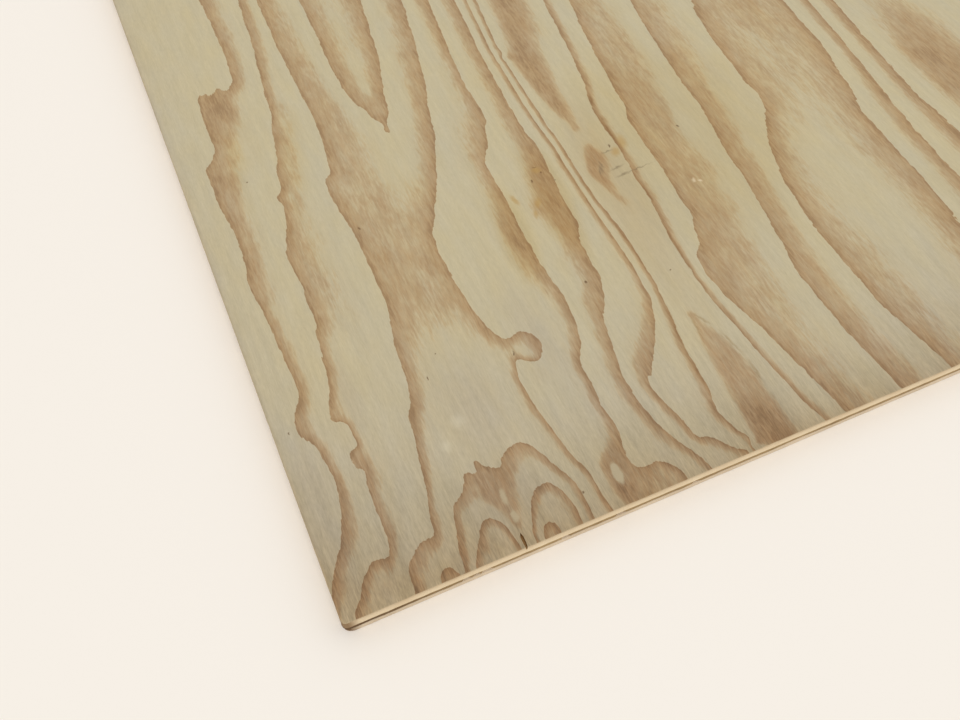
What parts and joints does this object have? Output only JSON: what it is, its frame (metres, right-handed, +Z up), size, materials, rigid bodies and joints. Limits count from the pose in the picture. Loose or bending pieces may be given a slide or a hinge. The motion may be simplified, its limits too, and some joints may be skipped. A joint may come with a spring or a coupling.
{
  "type": "plywood sheet",
  "caption": "Flat rectangular softwood plywood sheet of cross-laid veneers glued together, used as building board for sheathing, decking and formwork.",
  "frame": {"origin": "middle of the sheet's underside", "axes": "+Y along the face grain and the sheet's length, +X across its width, +Z up out of the face veneer"},
  "size_m": [1.22, 2.44, 0.012],
  "materials": {
    "back_wood": "rotary-cut pine veneer, unsanded, matte",
    "core_wood": "rough cross-grain pine veneer with dark glue, matte",
    "face_wood": "rotary-cut pine veneer with brown growth-ring figure, lightly sanded, matte"
  },
  "bodies": {
    "root": {"back_veneer": "back_wood", "core_veneer": "core_wood", "face_veneer": "face_wood"}
  },
  "joints": []
}
